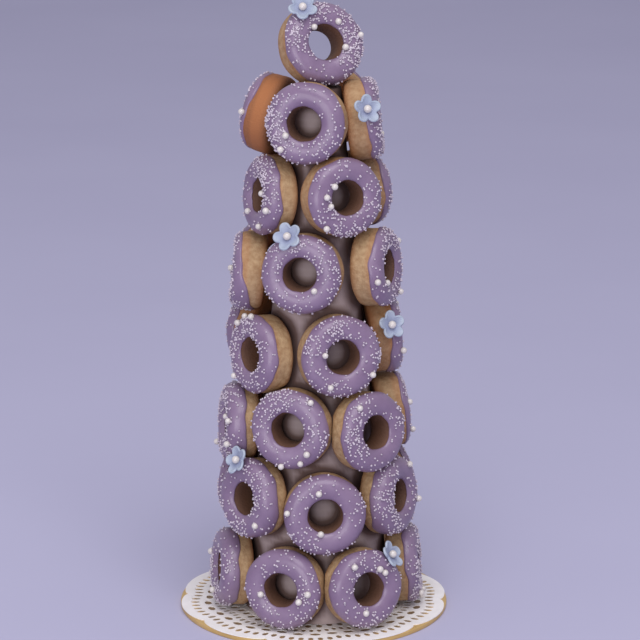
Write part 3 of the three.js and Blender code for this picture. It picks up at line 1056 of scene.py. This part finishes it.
def drift_weights(middles, area, random):
    """Beads fall in a few drifts, with a thin scatter between them."""
    weight = np.full(len(middles), THIN_SCATTER)
    for _ in range(DRIFTS):
        centre = middles[random.integers(len(middles))]
        weight += np.exp(-(np.linalg.norm(middles - centre, axis=1) ** 2) / (2 * (DRIFT_WIDTH * MM) ** 2))
    weight *= area
    return weight / weight.sum()


def solid_pearls(name):
    """The pearl that the solid already carries: its two highest corners stand above the ring's crown."""
    ring = ring_frames[name]
    local = ring["local"]
    crown = 2 * ICING_HALF_DEPTH * MM * rim_waves(ring["rim"])[0] / (RING_RADIUS * MM)
    top = local[np.argsort(local[:, 2])[-2:]]
    if top[0, 2] < crown + CROWN_SPARE * MM:
        return []
    centre = top.mean(axis=0) - (0, 0, BALL_TOP * PEARL_RADIUS * MM)
    return [ring["back"] + centre @ ring["axes"]]


def pearl_spots(name, places, random):
    """The solid's own pearl, and a few more on the front of the icing."""
    middles, normals, area = places
    spots = solid_pearls(name)
    wanted = random.integers(*PEARLS_EACH, endpoint=True)
    picks = random.choice(len(middles), PEARL_TRIES, p=drift_weights(middles, area, random))
    facing_out = normals @ ring_frames[name]["axes"][2] > PEARL_FACING
    for pick in picks[facing_out[picks]]:
        spot = middles[pick] + normals[pick] * PEARL_RADIUS * (1 - PEARL_SINK) * MM
        apart = all(np.linalg.norm(spot - other) > PEARL_APART * PEARL_RADIUS * MM for other in spots)
        if len(spots) < wanted and apart and is_free(spot, name, PEARL_RADIUS * MM):
            spots.append(spot)
    return spots


def bead_spots(name, places, random):
    """Places and radii of one doughnut's beads, each slid a little from the middle of its face."""
    middles, normals, area = places
    count = BEADS_ON_TOP if name == "doughnut_top" else random.integers(*BEADS_EACH)
    spots, radii = [], []
    for pick in random.choice(len(middles), count, p=drift_weights(middles, area, random)):
        radius = random.uniform(*BEAD_RADIUS) * MM
        slide = random.normal(0, BEAD_SLIDE * MM, 3)
        spot = middles[pick] + slide - normals[pick] * (slide @ normals[pick] - BEAD_HEIGHT * radius)
        if is_free(spot, name, BEAD_ROOM * radius):
            spots.append(spot)
            radii.append(radius)
    return spots, radii


random = np.random.default_rng(SCATTER_SEED)
bead_faces = beaded_faces()
bead_centres, bead_radii, pearl_centres = [], [], []
for name in ring_names:
    places = icing_places(name)
    pearl_centres += pearl_spots(name, places, random)
    spots, radii = bead_spots(name, places, random)
    bead_centres += spots
    bead_radii += radii
beads = joined_balls("sugar_beads", BEAD_BALL, np.array(bead_centres), np.array(bead_radii))
finish_piece(beads, "doughnut", bead_look)
pearl_radii = random.uniform(*PEARL_SIZES, len(pearl_centres)) * PEARL_RADIUS * MM
pearls = joined_balls("sugar_pearls", PEARL_BALL, np.array(pearl_centres), pearl_radii)
finish_piece(pearls, "doughnut", pearl_look)
heart_centres = np.array([base + out * PEARL_HEIGHT * MM for base, out in blossom_places.values()])
heart_radii = np.full(len(heart_centres), BLOSSOM_PEARL_RADIUS * MM)
hearts = joined_balls("blossom_pearls", PEARL_BALL, heart_centres, heart_radii)
finish_piece(hearts, "blossom", pearl_look)
print(len(bead_centres), "beads and", len(pearl_centres), "pearls")

# %% [markdown]
# ## Stage, light and camera
# The floor is plain and pale. A large soft light hangs high above the camera, a weaker one stands low on
# the left, and a pale sky lightens the shadows, as in a bright room. The camera stands well back with a
# long lens and looks a little down, so that the tower's sides stay nearly parallel.

# %% Stage
FLOOR_WIDTH = 30  # metres
FLOOR_DROP = 0.05
SKY_COLOUR = (0.84, 0.83, 0.94, 1)
SKY_STRENGTH = 0.54
SENSOR_WIDTH = 36
FOCAL_LENGTH = 155.9
CAMERA_PLACE = (0.0036, -1.505, 0.550)  # metres
LOOK_DOWN = 14.28  # degrees

start_clean()
bpy.ops.mesh.primitive_plane_add(size=FLOOR_WIDTH, location=(0, 0, -FLOOR_DROP * MM))
floor = bpy.context.object
floor.name = "floor"
floor_look = mottled(
    "pale floor",
    (0.465, 0.45, 0.62),
    (0.485, 0.47, 0.64),
    blotch=3,
    grain=50,
    bump=0.0,
    Roughness=0.9,
)
floor.data.materials.append(floor_look)


def soft_light(name, place, aim, size, power):
    lamp = bpy.data.lights.new(name, "AREA")
    lamp.size = size
    lamp.energy = power
    light = bpy.data.objects.new(name, lamp)
    light.location = place
    light.rotation_euler = (Vector(aim) - Vector(place)).to_track_quat("-Z", "Y").to_euler()
    bpy.context.collection.objects.link(light)


soft_light("key", place=(0.25, -1.5, 2.6), aim=(0, 0, 0.17), size=2.2, power=54)
soft_light("fill", place=(-0.5, -1.5, 0.2), aim=(0, 0, 0), size=1.0, power=12)
world = bpy.data.worlds.new("soft sky")
bpy.context.scene.world = world
world.use_nodes = True
sky = world.node_tree.nodes["Background"]
sky.inputs["Color"].default_value = SKY_COLOUR
sky.inputs["Strength"].default_value = SKY_STRENGTH

lens = bpy.data.cameras.new("camera")
lens.sensor_width = SENSOR_WIDTH
lens.lens = FOCAL_LENGTH
camera = bpy.data.objects.new("camera", lens)
camera.location = CAMERA_PLACE
camera.rotation_euler = (math.radians(90 - LOOK_DOWN), 0, 0)
bpy.context.collection.objects.link(camera)
bpy.context.scene.camera = camera
bpy.context.scene.view_settings.view_transform = "Standard"
